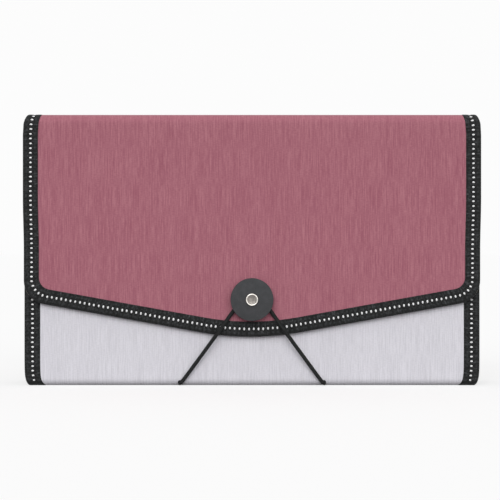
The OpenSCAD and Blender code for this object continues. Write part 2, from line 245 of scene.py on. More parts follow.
def ends(piece, edge):
    """Where an edge's two ends are."""
    return [piece.data.vertices[v].co for v in edge.vertices]


def keeps(piece, edge, axis):
    """Whether an edge's two ends have the same place along an axis."""
    a, b = ends(piece, edge)
    return abs(a[axis] - b[axis]) < 1e-6


def ease(share):
    """A smooth rise from 0 to 1 as share goes from 0 to 1."""
    share = min(max(share, 0), 1)
    return share * share * (3 - 2 * share)


def spread(low, high, steps):
    return [low + (high - low) * i / steps for i in range(steps + 1)]


def grid(rows):
    """A net of faces. Each point of each row says where it is, and where it is on the flat cloth."""
    bpy.ops.mesh.primitive_grid_add(x_subdivisions=len(rows[0]) - 1, y_subdivisions=len(rows) - 1, size=1)
    net = bpy.context.object
    points = [point for row in rows for point in row]
    for vertex, (place, _) in zip(net.data.vertices, points, strict=True):
        vertex.co = place
    weave = net.data.uv_layers[0].data
    for loop in net.data.loops:
        weave[loop.index].uv = points[loop.vertex_index][1]
    return net


def lay_cloth(name, rows, thickness, outward, finish):
    """Cloth over a net of rows, with its thickness on the side away from outward."""
    cloth = grid(rows)
    cloth.data.update()
    if cloth.data.polygons[0].normal.dot(Vector(outward)) < 0:
        with editing(cloth, "FACE"):
            bpy.ops.mesh.flip_normals()
    finish_with(cloth, "SOLIDIFY", thickness=thickness, offset=-1)
    shade(cloth)
    return settle(cloth, name, finish)


def runs_along(line):
    """How far along a line each of its points is."""
    runs = [0]
    for a, b in zip(line, line[1:]):
        runs.append(runs[-1] + dist(a, b))
    return runs


# The cover's line
def cover_line(side, run, lift):
    """Y and Z of the cover at run from the middle of its top, towards the flap (-1) or the back (1)."""
    turn = cover_turn(run)
    past = max(run - TOP_RUN - FOLD_RUN, 0)
    y = TOP_MID_Y + side * (min(run, TOP_RUN) + (FOLD_R + lift) * sin(turn))
    z = FOLD_Z + (FOLD_R + lift) * cos(turn) - past
    return y, z


def cover_turn(run):
    """How far the cover's face has turned from straight up, at run from the middle of its top."""
    return min(max(run - TOP_RUN, 0) / FOLD_R, pi / 2)


def side_edge(half, run):
    """Half the width at run: drawn in across the top and the fold, and full width below them."""
    drawn = half - TOP_HALF + TOP_DRAW
    return half - drawn * (1 - ease((run - TOP_RUN + MM) / DRAW_RUN))


def foot_edge(z):
    """Half the width of the back and front panels, which draw in round the foot."""
    return PANEL_HALF - FOOT_DRAW * exp(-z / FOOT_RUN)


def flap_draw(z):
    """How far the flap's sides draw in at height z."""
    high, low = FLAP_DRAW_Z
    return FLAP_DRAW * ease((high - z) / (high - low))


def flap_edge(run):
    """Half the flap's width at run from the middle of the top."""
    return side_edge(FLAP_HALF, run) - flap_draw(FOLD_Z - max(run - TOP_RUN - FOLD_RUN, 0))


def on_nose(inset, turn):
    """X and Z of the flap's nose drawn in by inset, at a turn from its lowest point."""
    r = NOSE_R - inset
    return NOSE_X + r * sin(turn), NOSE_Z + NOSE_R - r * cos(turn)


def flap_low_edge(x, inset):
    """Height of the flap's lower outline at x, drawn in by inset."""
    aside = abs(x - NOSE_X)
    nose_end, start = on_nose(inset, EDGE_SLOPE)
    reach = nose_end - NOSE_X
    if aside < reach:
        return NOSE_Z + NOSE_R - sqrt((NOSE_R - inset) ** 2 - aside ** 2)
    return start + (aside - reach) * tan(EDGE_SLOPE)


def flap_rail(inset, radius):
    """X and Z of the flap's outline drawn in by inset, from its left corner round the nose to its right."""
    def corner(side):
        """One of the flap's two lower corners, from its side round to its lower edge."""
        centre_x = side * (FLAP_HALF - FLAP_DRAW - inset - radius)
        centre_z = flap_low_edge(centre_x, inset) + radius / cos(EDGE_SLOPE)
        return [
            (centre_x + side * radius * cos(turn), centre_z - radius * sin(turn))
            for turn in spread(0, pi / 2 - EDGE_SLOPE, CORNER_STEPS)
        ]

    nose = [on_nose(inset, turn) for turn in spread(-EDGE_SLOPE, EDGE_SLOPE, CORNER_STEPS)]
    return corner(-1) + nose + corner(1)[::-1]


# Cloth covers and linings
FOLD_END = TOP_RUN + FOLD_RUN
TOP_RUNS = spread(0, TOP_RUN, 4) + spread(TOP_RUN, FOLD_END, 10)[1:]
FLAP_DROP = FOLD_Z - flap_rail(0, CORNER_R)[0][1]
COLUMNS = spread(-1, 1, 48)
# Heights down the front panel and how far its face has turned there, the last of them round its foot
FRONT_STEPS = [(z, 0) for z in spread(FRONT_H - HALF_T, 14 * MM, 14) + [h * MM for h in (10, 7, 5.2, 4)]]
FRONT_STEPS += [(FOOT_R, turn) for turn in spread(0, pi / 2, 14)]


def level_row(half, y, z, run):
    """A row of cloth straight across the wallet, at run down the flat cloth."""
    return [((share * half, y, z), (share * half, run)) for share in COLUMNS]


# In what follows, stuff is the cloth's thickness, which way its face looks, and its finish
def lay_over_flap(name, lift, *stuff):
    """Cloth from the middle of the top, over the front fold and down the flap, cut to its V edge."""
    rows = [level_row(flap_edge(run) - TAPE_W + TUCK, *cover_line(-1, run, lift), -run) for run in TOP_RUNS]
    y, z = cover_line(-1, FOLD_END, lift)
    for down in spread(0, 1, 24)[1:]:
        row = []
        for share in COLUMNS:
            x = share * (flap_edge(FOLD_END + down * FLAP_DROP) - TAPE_W + TUCK)
            drop = down * (FOLD_Z - flap_low_edge(x, TAPE_W - TUCK))
            row.append(((x, y, z - drop), (x, -FOLD_END - drop)))
        rows.append(row)
    return lay_cloth(name, rows, *stuff)


def lay_over_back(name, lift, *stuff, to_foot):
    """Cloth from the middle of the top, over the back fold, down the back and, if to_foot, round its foot."""
    rows = []
    heights = spread(FOLD_Z, FOOT_HEIGHTS[0], 14)[1:] + FOOT_HEIGHTS[1:] + [HALF_T]
    runs = TOP_RUNS + [FOLD_END + FOLD_Z - height for height in heights]
    for run in runs:
        y, z = cover_line(1, run, lift)
        half = min(side_edge(PANEL_HALF, run), foot_edge(z)) - TAPE_W + TUCK
        rows.append(level_row(half, y, z, run))
    if to_foot:
        for turn in spread(0, pi / 2, 6)[1:]:
            y = BACK_FACE - HALF_T + (HALF_T + lift) * cos(turn)
            z = HALF_T - (HALF_T + lift) * sin(turn)
            rows.append(level_row(half, y, z, runs[-1] + HALF_T * turn))
    return lay_cloth(name, rows, *stuff)


def front_line(sunk):
    """Y and Z down the front panel at a depth below its face, from its top edge and round its foot."""
    r = FOOT_R - sunk
    return [(FRONT_FACE + FOOT_R - r * cos(turn), z - r * sin(turn)) for z, turn in FRONT_STEPS]


def lay_over_front(name, line, under_tape, *stuff):
    """Cloth or lining down the front panel along a line, and so far in under its tapes."""
    rows = [
        level_row(foot_edge(z) - FRONT_TAPE_W + under_tape, y, z, -run)
        for (y, z), run in zip(line, runs_along(line))
    ]
    return lay_cloth(name, rows, *stuff)


def lay_bottom(name, front, back, z, *stuff):
    """A flat piece of cloth along the bottom, from front to back."""
    half = foot_edge(0) - TAPE_W + TUCK
    rows = [
        [((x, front + run, z), (x + half, run)) for x in spread(-half, half, 12)]
        for run in spread(0, back - front, 8)
    ]
    return lay_cloth(name, rows, *stuff)


def cut_cord_slots(cloth):
    """Two slots with round tops in a cloth's foot, where the elastic turns under it."""
    for side in (-1, 1):
        bpy.ops.mesh.primitive_cube_add(
            size=1, location=(side * abs(CORD_ROUTE[3].x), FRONT_FACE + 2 * MM, SLOT_H / 2 - MM))
        cutter = bpy.context.object
        bpy.ops.transform.resize(value=(SLOT_W, 7 * MM, SLOT_H + 2 * MM))
        bpy.ops.object.transform_apply(location=True, rotation=False, scale=True)
        with editing(cutter, "EDGE", lambda edge: all(end.z > 0 for end in ends(cutter, edge))
                     and keeps(cutter, edge, 0)):
            bpy.ops.mesh.bevel(offset=SLOT_W * 0.46, segments=6)
        finish_with(cloth, "BOOLEAN", object=cutter, operation="DIFFERENCE", solver="EXACT")
        bpy.data.objects.remove(cutter)


# Binding tape
def tape_section(lift):
    """Inset from the edge and height above mid thickness, from the outer selvedge round to the inner."""
    round_r = HALF_T + lift / 2
    face, back = HALF_T + lift, -HALF_T
    outer = [
        (TAPE_W, HALF_T - 0.35 * MM), (TAPE_W - 0.03 * MM, face - 0.12 * MM),
        (TAPE_W - 0.18 * MM, face - 0.02 * MM), (TAPE_W - 0.5 * MM, face), (TAPE_W * 0.75, face),
        (SEAM_INSET + 0.8 * MM, face - SEAM_DIP * 0.3), (SEAM_INSET, face - SEAM_DIP),
        (SEAM_INSET - 0.8 * MM, face - SEAM_DIP * 0.3), (TAPE_W * 0.3, face),
    ]
    edge = [(round_r * (1 - sin(turn)), lift / 2 + round_r * cos(turn)) for turn in spread(0, pi, 10)]
    inner = [
        (SEAM_INSET - 0.8 * MM, back), (SEAM_INSET, back + SEAM_DIP), (SEAM_INSET + 0.8 * MM, back),
        (TAPE_W - 0.3 * MM, back), (TAPE_W - 0.05 * MM, back + 0.08 * MM), (TAPE_W, back + 0.25 * MM),
    ]
    return outer + edge + inner


# The stitch line's place in the flat tape, from the outer selvedge
SEAM_ALONG = runs_along(tape_section(TAPE_LIFT))[6]


# One place along a tape: its edge and its inner selvedge at mid thickness, which way is out, and its lift
Station = namedtuple("Station", "edge inner up lift")


def between(a, b, share):
    """A station between two others."""
    up = a.up.lerp(b.up, share).normalized()
    lift = a.lift + (b.lift - a.lift) * share
    return Station(a.edge.lerp(b.edge, share), a.inner.lerp(b.inner, share), up, lift)


def side_station(x_side, edge, y, z, up, lift=0, width=TAPE_W):
    """A station of a tape so wide down one side of the wallet, its edge so far from the middle."""
    return Station(Vector((x_side * edge, y, z)), Vector((x_side * (edge - width), y, z)), Vector(up), lift)


def closer(stations):
    """The same stations, with more between them where they are far apart."""
    out = [stations[0]]
    for a, b in zip(stations, stations[1:]):
        steps = max(1, ceil((b.edge - a.edge).length / STATION_RUN))
        out += [between(a, b, i / steps) for i in range(1, steps + 1)]
    return out


def seam_run(stations):
    """How far along the seam each station is."""
    return runs_along([(place.edge + place.inner) / 2 + place.up * HALF_T for place in stations])


def on_tape(place, inset, height):
    """A point of the tape at a station."""
    return place.edge + (place.inner - place.edge) * (inset / TAPE_W) + place.up * height


def fold_tape(name, stations, start=0):
    """Tape folded over a panel's edge, along its stations. Its weave is told where the stitches start."""
    runs = [run - start for run in seam_run(stations)]
    rows = []
    for place, run in zip(stations, runs):
        section = tape_section(place.lift)
        widths = runs_along(section)
        rows.append([(on_tape(place, *point), (run, width)) for point, width in zip(section, widths)])
    first = stations[0]
    outward = (first.inner - first.edge).normalized() + first.up * 0.2
    return lay_cloth(name, rows, TAPE_T, outward, finishes["tape"])


def make_stitch():
    """One stitch: a short length of thread that lies across the tape, with its ends drawn down."""
    bpy.ops.mesh.primitive_uv_sphere_add(segments=10, ring_count=6, radius=0.5, location=(0, 0, 0))
    stitch = bpy.context.object
    with editing(stitch, "VERT", lambda vertex: vertex.co.z < -0.1):
        bpy.ops.transform.resize(value=(1, 1, 0.4))
    for vertex in stitch.data.vertices:
        vertex.co.z -= 0.5 * vertex.co.y ** 2
    bpy.ops.transform.resize(value=(STITCH_W, STITCH_L, STITCH_H))
    shade(stitch, 180)
    return settle(stitch, "stitch", finishes["thread"])


def sew(name, stations, bare=(0, 0)):
    """A row of stitches along a tape, on its outer and its inner face, with a bare length at its ends."""
    runs = seam_run(stations)
    count = int((runs[-1] - bare[0] - bare[1]) / STITCH_PITCH)
    row = []
    i = 0
    for n in range(count):
        run = bare[0] + (n + 0.5) * STITCH_PITCH + thread_luck.uniform(-0.05, 0.05) * MM
        while runs[i + 1] < run:
            i += 1
        here, ahead = stations[i], stations[i + 1]
        place = between(here, ahead, (run - runs[i]) / (runs[i + 1] - runs[i]))
        along = ahead.edge + ahead.inner - here.edge - here.inner
        along += (ahead.up - here.up) * PANEL_T
        for side in (1, -1):
            up = place.up * side
            height = HALF_T + (place.lift if side > 0 else 0) - SEAM_DIP
            at = on_tape(place, SEAM_INSET + thread_luck.uniform(-0.05, 0.05) * MM, side * height)
            forward = (along - up * along.dot(up)).normalized()
            turned = Matrix((forward, up.cross(forward), up)).transposed().to_4x4()
            thread = stitch.copy()
            thread.data = stitch.data.copy()
            bpy.context.scene.collection.objects.link(thread)
            slant = Matrix.Rotation(thread_luck.uniform(-0.07, 0.07), 4, "Z")
            size = Matrix.Diagonal((1, thread_luck.uniform(0.9, 1.08), 1, 1))
            # Those on the underside are pressed in by the wallet's weight
            raised = 0.04 * MM - 0.3 * MM * max(0, -up.z)
            thread.data.transform(Matrix.Translation(at + up * raised) @ turned @ slant @ size)
            row.append(thread)
    return together(row, name)


def cover_stations(x_side, y_side, runs):
    """Stations down one side of the cover, from the middle of its top to the flap (-1) or to the back (1)."""
    places = []
    for run in runs:
        turn = cover_turn(run)
        lift = TOP_TAPE_LIFT + (TAPE_LIFT - TOP_TAPE_LIFT) * ease((run - TOP_RUN) / (FOLD_RUN + 3 * MM))
        y, z = cover_line(y_side, run, -HALF_T)
        edge = flap_edge(run) if y_side < 0 else side_edge(PANEL_HALF, run)
        up = (0, y_side * sin(turn), cos(turn))
        places.append(side_station(x_side, edge, y, z, up, lift))
    return places


def flap_stations():
    """All round the flap: from the middle of the top at the left, round the V edge, to the right."""
    runs = TOP_RUNS + spread(FOLD_END, FOLD_END + FLAP_DROP - MM, 14)[1:]
    left, right = (cover_stations(x_side, -1, runs) for x_side in (-1, 1))
    y = FLAP_FACE + HALF_T
    rails = zip(flap_rail(0, CORNER_R), flap_rail(TAPE_W, INNER_CORNER_R))
    edge = [
        Station(Vector((x, y, z)), Vector((in_x, y, in_z)), Vector((0, -1, 0)), TAPE_LIFT)
        for (x, z), (in_x, in_z) in rails
    ]
    return closer(left + edge + right[::-1])


def back_stations(x_side):
    """Down one side of the back, round its foot and along the bottom."""
    down = [FOLD_END + drop for drop in spread(0, FOLD_Z - FOOT_HEIGHTS[0], 8)[1:]]
    places = cover_stations(x_side, 1, TOP_RUNS + down)
    y = BACK_FACE - HALF_T
    for z in FOOT_HEIGHTS[1:] + [HALF_T]:
        lift = TAPE_LIFT * ease(z / LIFT_RUN)
        places.append(side_station(x_side, foot_edge(z), y, z, (0, 1, 0), lift))
    for turn in spread(0, pi / 2, 6)[1:]:
        edge = foot_edge(HALF_T * (1 - sin(turn)))
        up = (0, cos(turn), -sin(turn))
        places.append(side_station(x_side, edge, y, HALF_T, up))
    for y in spread(BACK_FACE - HALF_T, BOTTOM_FRONT, 4)[1:]:
        places.append(side_station(x_side, edge, y, HALF_T, (0, 0, -1)))
    return closer(places)


def front_stations(x_side):
    """Down one side of the front panel, turned over its top edge and round its foot."""
    top = FRONT_H - HALF_T
    places = []
    for turn in spread(pi, 0, 8)[:-1]:
        up = (0, -cos(turn), sin(turn))
        places.append(side_station(x_side, PANEL_HALF, FRONT_MID, top, up, width=FRONT_TAPE_W))
    for (y, z), (_, face_z), (_, turn) in zip(front_line(HALF_T), front_line(0), FRONT_STEPS):
        lift = FRONT_TAPE_LIFT * ease((top - z) / (3 * MM))
        up = (0, -cos(turn), -sin(turn))
        width = foot_edge(z) - foot_edge(face_z) + FRONT_TAPE_W
        places.append(side_station(x_side, foot_edge(z), y, z, up, lift, width))
    return closer(places)


# Elastic
def smooth_route(points, step):
    """A smooth line through the route's points, with a ring every step."""
    ends = [points[0] * 2 - points[1]] + points + [points[-1] * 2 - points[-2]]
    line = []
    for a, b, c, d in zip(ends, ends[1:], ends[2:], ends[3:]):
        steps = max(1, round((c - b).length / step))
        for i in range(steps):
            t = i / steps
            line.append(b + ((c - a) * t + (a * 2 - b * 5 + c * 4 - d) * t * t
                             + (b * 3 - a - c * 3 + d) * t ** 3) / 2)
    return line + [points[-1]]


def make_elastic(line):
    """A round cord along its line, with its braid running on along it."""
    radius = CORD_D / 2
    rings = []
    out = Vector((0, -1, 0))
    for i, (place, run) in enumerate(zip(line, runs_along(line))):
        along = (line[min(i + 1, len(line) - 1)] - line[max(i - 1, 0)]).normalized()
        out = (out - along * out.dot(along)).normalized()
        aside = along.cross(out)
        rings.append([
            (place + (out * cos(turn) + aside * sin(turn)) * radius, (turn * radius, run))
            for turn in spread(0, 2 * pi, CORD_SIDES)
        ])
    cord = grid(rings)
    with editing(cord, "VERT"):
        bpy.ops.mesh.remove_doubles(threshold=1e-7)
        bpy.ops.mesh.fill_holes(sides=0)
        bpy.ops.mesh.normals_make_consistent(inside=False)
    shade(cord, 60)
    return settle(cord, "elastic_cord", finishes["elastic"])


# Disc and rivet
def at_disc(piece):
    """Turns a piece made along +Z so that it faces -Y, with its axis through the disc's centre."""
    piece.data.transform(Matrix.Rotation(pi / 2, 4, "X"))
    piece.data.transform(Matrix.Translation((DISC_X, 0, DISC_Z)))


def make_disc():
    """The closure disc: a punched washer with its rims just broken."""
    depth = disc_high.y - disc_low.y
    bpy.ops.mesh.primitive_cylinder_add(
        vertices=96, radius=DISC_R, depth=depth, location=(0, 0, -(disc_high.y + disc_low.y) / 2))
    disc = bpy.context.object
    bpy.ops.object.transform_apply(location=True)
    with editing(disc, "FACE", lambda face: abs(face.normal.z) > 0.9):
        bpy.ops.mesh.inset(thickness=DISC_R - DISC_HOLE_R, use_individual=True)
        bpy.ops.mesh.bridge_edge_loops()
    rim = DISC_R * 0.999
    with editing(disc, "EDGE", lambda edge: all(end.xy.length > rim for end in ends(disc, edge))
                 and keeps(disc, edge, 2)):
        bpy.ops.mesh.bevel(offset=0.18 * MM, segments=3)
    at_disc(disc)
    shade(disc, 50)
    return settle(disc, "closure_disc_punched", finishes["disc"])


def make_rivet():
    """The rivet: a dished head with a rolled rim, turned round its axis, on a plain shank."""
    head, shank_end = -rivet_low.y, -rivet_high.y
    # Radius, and how far behind the rim's front, in millimetres
    profile = [
        (0.02, 0.42), (0.7, 0.41), (1.3, 0.37), (1.75, 0.3), (1.96, 0.18), (2.08, 0.06), (2.22, 0),
        (2.36, 0.03), (2.47, 0.12), (2.56, 0.28), (2.6, 0.46), (2.56, 0.62), (2.4, 0.7), (1.4, 0.7),
    ]
    rings = [(radius * MM, head - behind * MM) for radius, behind in profile] + [(1.4 * MM, shank_end)]
    radius, height = rings[0]
    bpy.ops.mesh.primitive_circle_add(vertices=48, radius=radius, location=(0, 0, height), fill_type="NGON")
    rivet = bpy.context.object
    bpy.ops.object.transform_apply(location=True)
    with editing(rivet, "EDGE"):
        for next_radius, next_height in rings[1:]:
            bpy.ops.mesh.extrude_edges_move(TRANSFORM_OT_translate={"value": (0, 0, next_height - height)})
            wider = next_radius / radius
            bpy.ops.transform.resize(value=(wider, wider, 1), center_override=(0, 0, next_height))
            radius, height = next_radius, next_height
        bpy.ops.mesh.edge_face_add()
        bpy.ops.mesh.select_all(action="SELECT")
        bpy.ops.mesh.normals_make_consistent(inside=False)
    at_disc(rivet)
    shade(rivet, 50)
    return settle(rivet, "rivet_turned", finishes["nickel"])


# Pocket stack
def upright_sheet(low, high, top):
    """A flat sheet at a box's front, from the box's foot to a height, that faces -Y."""
    bpy.ops.mesh.primitive_plane_add(size=1)
    sheet = bpy.context.object
    sheet.data.transform(Matrix.Diagonal((high.x - low.x, top - low.z, 1, 1)))
    sheet.data.transform(Matrix.Rotation(pi / 2, 4, "X"))
    sheet.data.transform(Matrix.Translation(((low.x + high.x) / 2, low.y, (low.z + top) / 2)))
    return sheet


def round_corners(sheet, wanted, radius, steps):
    """Rounds a flat sheet's corners that wanted says yes to."""
    with editing(sheet, "VERT", wanted):
        bpy.ops.mesh.bevel(affect="VERTICES", offset=radius, segments=steps)


def break_edges(piece, width, turn):
    """Breaks a cut piece's edges that turn by more than this, in degrees."""
    finish_with(piece, "BEVEL", width=width, segments=2, limit_method="ANGLE", angle_limit=radians(turn))
    shade(piece, 30)


def make_leaf(name, node, tab_x=None):
    """A divider cut from sheet, with round upper corners and, at tab_x, a tab with round corners."""
    low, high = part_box(node)
    top = high.z if tab_x is None else high.z - TAB_H
    leaf = upright_sheet(low, high, top)
    if tab_x is not None:
        for x in (tab_x - TAB_W / 2, tab_x + TAB_W / 2):
            with editing(leaf, "FACE"):
                bpy.ops.mesh.bisect(plane_co=(x, 0, 0), plane_no=(1, 0, 0))
        with editing(leaf, "EDGE", lambda edge: all(abs(end.z - top) < 1e-6 and abs(
                end.x - tab_x) < TAB_W / 2 + 1e-6 for end in ends(leaf, edge))):
            bpy.ops.mesh.extrude_region_move(TRANSFORM_OT_translate={"value": (0, 0, TAB_H)})
            bpy.ops.transform.resize(
                value=((TAB_W - 2 * MM) / TAB_W, 1, 1), center_override=(tab_x, low.y, high.z))
        round_corners(leaf, lambda vertex: vertex.co.z > top + TAB_H / 2, radius=2 * MM, steps=5)
    round_corners(leaf, lambda vertex: abs(vertex.co.z - top) < 1e-6
                  and min(abs(vertex.co.x - x) for x in (low.x, high.x)) < 1e-6, radius=3 * MM, steps=6)
    finish_with(leaf, "SOLIDIFY", thickness=high.y - low.y, offset=-1)
    break_edges(leaf, 0.08 * MM, 60)
    return settle(leaf, name, finishes["film"])


def make_label(name, node):
    """A blank paper label with round corners, stuck on a tab."""
    low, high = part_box(node)
    label = upright_sheet(low, high, high.z)
    round_corners(label, lambda vertex: True, radius=0.8 * MM, steps=4)
    finish_with(label, "SOLIDIFY", thickness=high.y - low.y, offset=-1)
    shade(label, 30)
    return settle(label, name, finishes["paper"])


def make_gusset(name, node):
    """The pleated film of one pocket: a pleat down each side, and one along the foot."""
    low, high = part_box(node)
    # Each point of the pleat: how far it draws in, its Y, and which way its film runs on the flat
    pleat = [(deep, high.y - share * (high.y - low.y), 1 if share < 0.5 else -1) for deep, share in PLEAT]
    strips = []
    for side in (-1, 1):
        rows = [
            [((side * (high.x - deep * PLEAT_DEPTH), y, z), (deep * PLEAT_DEPTH * way, z))
             for deep, y, way in pleat]
            for z in spread(low.z, high.z, 12)
        ]
        strips.append(lay_cloth(name + "_side", rows, FILM_T, (side, 1, 0), finishes["film"]))
    inner = high.x - PLEAT_DEPTH
    rows = [
        [((x, y, low.z + deep * FOOT_PLEAT_H), (x, deep * FOOT_PLEAT_H * way)) for deep, y, way in pleat]
        for x in spread(-inner, inner, 16)
    ]
    strips.append(lay_cloth(name + "_foot", rows, FILM_T, (0, 1, -1), finishes["film"]))
    return together(strips, name)


def make_board(name, node, narrower, shorter, round_foot):
    """A board cut a little narrower than its solid and shorter at its foot, the foot's corners cut round."""
    low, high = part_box(node)
    low.z += shorter
    bpy.ops.mesh.primitive_cube_add(size=1, location=(low + high) / 2)
    board = bpy.context.object
    bpy.ops.transform.resize(value=(high.x - low.x - 2 * narrower, high.y - low.y, high.z - low.z))
    settle(board, name, finishes["board"])
    if round_foot:
        with editing(board, "EDGE", lambda edge: all(abs(end.z - low.z) < 1e-5 for end in ends(board, edge))
                     and keeps(board, edge, 0)):
            bpy.ops.mesh.bevel(offset=3.4 * MM, segments=5)
    break_edges(board, 0.12 * MM, 50)
    return board


# Materials
def linear(colour):
    """The linear colour of an sRGB hex value."""
    parts = [int(colour[i:i + 2], 16) / 255 for i in (1, 3, 5)]
    return tuple(c / 12.92 if c <= 0.04045 else ((c + 0.055) / 1.055) ** 2.4 for c in parts) + (1,)


def add_node(material, kind, settings=None, out=0, **inputs):
    """Adds a node with settings and values or links for its inputs (in1 is input 1), and gives one output."""
    tree = material.node_tree
    node = tree.nodes.new("ShaderNode" + kind)
    for name, value in (settings or {}).items():
        setattr(node, name, value)
    for name, value in inputs.items():
        numbered = name[:2] == "in" and name[2:].isdigit()
        socket = node.inputs[int(name[2:]) if numbered else name.replace("_", " ")]
        if isinstance(value, bpy.types.NodeSocket):
            tree.links.new(value, socket)
        else:
            socket.default_value = value
    return node.outputs[out] if node.outputs else None


def blank_material(name):
    material = bpy.data.materials.new(name)
    material.use_nodes = True
    material.node_tree.nodes.clear()
    return material


def own_place(material):
    """Where a point is on its piece."""
    return add_node(material, "TexCoord", out="Object")


def on_flat_cloth(material):
    """Where a point is on the flat cloth."""
    return add_node(material, "UVMap")


def figure(material, operation, a, b=0.0):
    """The outcome of a sum on one or two values."""
    return add_node(material, "Math", {"operation": operation}, in0=a, in1=b)


def mixed(material, share, a, b):
    """One colour turned into another by a share."""
    return add_node(material, "Mix", {"data_type": "RGBA"}, 2, in0=share, in6=a, in7=b)


def seen(owner):
    """One where the camera or a gloss sees the surface or the sky itself, and nought for its light."""
    rays = add_node(owner, "LightPath").node.outputs
    return figure(owner, "MAXIMUM", rays["Is Camera Ray"], rays["Is Glossy Ray"])


def grain(material, where, across, along, detail=2.0, shift=0.0):
    """Noise stretched over cells of across by along metres, read from a piece's own place or flat cloth."""
    spaced_out = add_node(material, "Mapping", Vector=where, Scale=(1 / across, 1 / along, 1 / across),
                          Location=(shift, shift, 0))
    return add_node(material, "TexNoise", Vector=spaced_out, Scale=1.0, Detail=detail, Roughness=0.55)


def weighed(material, parts):
    """The sum of values, each times its weight."""
    total = 0.0
    for value, weight in parts:
        total = add_node(material, "Math", {"operation": "MULTIPLY_ADD"}, in0=value, in1=weight, in2=total)
    return total


def shades(material, value, stops):
    """A colour for each value: stops are (value, sRGB hex)."""
    colour = add_node(material, "ValToRGB", Fac=value)
    elements = colour.node.color_ramp.elements
    while len(elements) < len(stops):
        elements.new(0.5)
    for element, (place, shade_hex) in zip(elements, stops):
        element.position = place
        element.color = linear(shade_hex)
    return colour


def surface(material, colour, relief, depth, strength, **shader):
    """The shader at a material's end, with its colour and its relief."""
    bump = add_node(material, "Bump", Height=relief, Strength=strength, Distance=depth)
    skin = add_node(material, "BsdfPrincipled", Base_Color=colour, Normal=bump, **shader)
    add_node(material, "OutputMaterial", Surface=skin)
    return material


def grained(name, grains, stops, depth, strength, **shader):
    """A stuff toned by grains: cell across and along in mm, detail, shift, share. The first is its relief."""
    stuff = blank_material(name)
    place = own_place(stuff)
    parts = [
        (grain(stuff, place, across * MM, along * MM, detail, shift), share)
        for across, along, detail, shift, share in grains
    ]
    colour = shades(stuff, weighed(stuff, parts), stops)
    return surface(stuff, colour, parts[0][0], depth * MM, strength, **shader)


def book_cloth(name, dark, middle, light):
    """Linen-look book cloth, a woven slub cotton sized with starch: soft streaks run with its warp."""
    cloth = blank_material(name)
    flat = on_flat_cloth(cloth)
    slubs = grain(cloth, flat, 0.32 * MM, 14 * MM, 1.0)
    warp = grain(cloth, flat, 0.25 * MM, 4 * MM, 1.0, 3.1)
    weft = grain(cloth, flat, 1.2 * MM, 0.35 * MM, 1.0, 7.7)
    tone = grain(cloth, flat, 9 * MM, 50 * MM, 2.0, 1.3)
    threads = weighed(cloth, [(slubs, 0.42), (warp, 0.28), (weft, 0.22), (tone, 0.08)])
    colour = shades(cloth, threads, [(0.41, dark), (0.5, middle), (0.59, light)])
    relief = weighed(cloth, [(slubs, 0.4), (warp, 0.35), (weft, 0.25)])
    return surface(cloth, colour, relief, 0.12 * MM, 0.5, Roughness=0.9, Sheen_Weight=0.12,
                   Sheen_Roughness=0.5, Specular_IOR_Level=0.25)


def woven_tape():
    """Polyester grosgrain tape, woven with ribs across it: near-black, with painted shade in the needle's
    dents round its stitches.
    """
    tape = blank_material("black grosgrain tape")
    flat = on_flat_cloth(tape)
    # Ribs 0.35 mm apart are too fine for the render, so they are drawn 0.7 mm apart
    ribs = grain(tape, flat, 0.7 * MM, 3.2 * MM, 1.0)
    yarn = grain(tape, flat, 2.5 * MM, 0.5 * MM, 2.0, 4.2)
    specks = grain(tape, flat, 0.8 * MM, 0.8 * MM, 1.0, 9.4)
    weave = weighed(tape, [(ribs, 0.5), (yarn, 0.25), (specks, 0.25)])
    colour = shades(tape, weave, [(0.38, "#0F1010"), (0.5, "#202121"), (0.58, "#303132"), (0.66, "#4A4B4D")])
    # The needle's dents beside each stitch are drawn as dark painted shade, and a pale nap stands up further
    # out on both sides
    along, across = add_node(tape, "SeparateXYZ", Vector=flat).node.outputs[:2]
    past = figure(tape, "PINGPONG", along, STITCH_PITCH / 2)
    ahead = figure(tape, "SUBTRACT", past, STITCH_PITCH / 2)
    out = figure(tape, "ABSOLUTE", figure(tape, "SUBTRACT", across, SEAM_ALONG))
    # The first of these marks is the painted shade of the needle's dents, the second the pale nap
    for aside, near, far, tint in ((0.95, 0.25, 0.6, "#0C0D0D"), (1.8, 0.2, 0.55, "#3E4042")):
        place = add_node(tape, "CombineXYZ", X=ahead, Y=figure(tape, "SUBTRACT", out, aside * MM))
        reach = add_node(tape, "VectorMath", {"operation": "LENGTH"}, "Value", in0=place)
        mark = add_node(tape, "MapRange", Value=reach, From_Min=near * MM, From_Max=far * MM,
                        To_Min=0.45, To_Max=0)
        colour = mixed(tape, mark, colour, linear(tint))
    return surface(tape, colour, weave, 0.15 * MM, 0.7, Roughness=0.85, Sheen_Weight=0.06,
                   Sheen_Roughness=0.4, Specular_IOR_Level=0.25)


def sewing_thread():
    """Spun polyester thread, undyed white: a soft bright dot with a faint twist."""
    return grained("white spun polyester thread", [(0.25, 0.25, 1.0, 0, 1)],
                   [(0.3, "#E6E6E7"), (0.6, "#FAFAFA")], 0.05, 0.4,
                   Roughness=0.6, Sheen_Weight=0.2, Sheen_Roughness=0.4)


def lining_cloth():
    """Fine nylon lining, plain woven and calendered: smooth dark grey with a slight sheen."""
    lining = blank_material("grey nylon lining")
    flat = on_flat_cloth(lining)
    warp = grain(lining, flat, 0.4 * MM, 2 * MM, 1.0)
    weft = grain(lining, flat, 2 * MM, 0.4 * MM, 1.0, 5.0)
    tone = grain(lining, flat, 14 * MM, 14 * MM, 2.0, 2.0)
    weave = weighed(lining, [(warp, 0.35), (weft, 0.35), (tone, 0.3)])
    colour = shades(lining, weave, [(0.38, "#4E4D51"), (0.5, "#5A595E"), (0.62, "#66656A")])
    return surface(lining, colour, weave, 0.08 * MM, 0.4, Roughness=0.55, Sheen_Weight=0.15,
                   Sheen_Roughness=0.3)


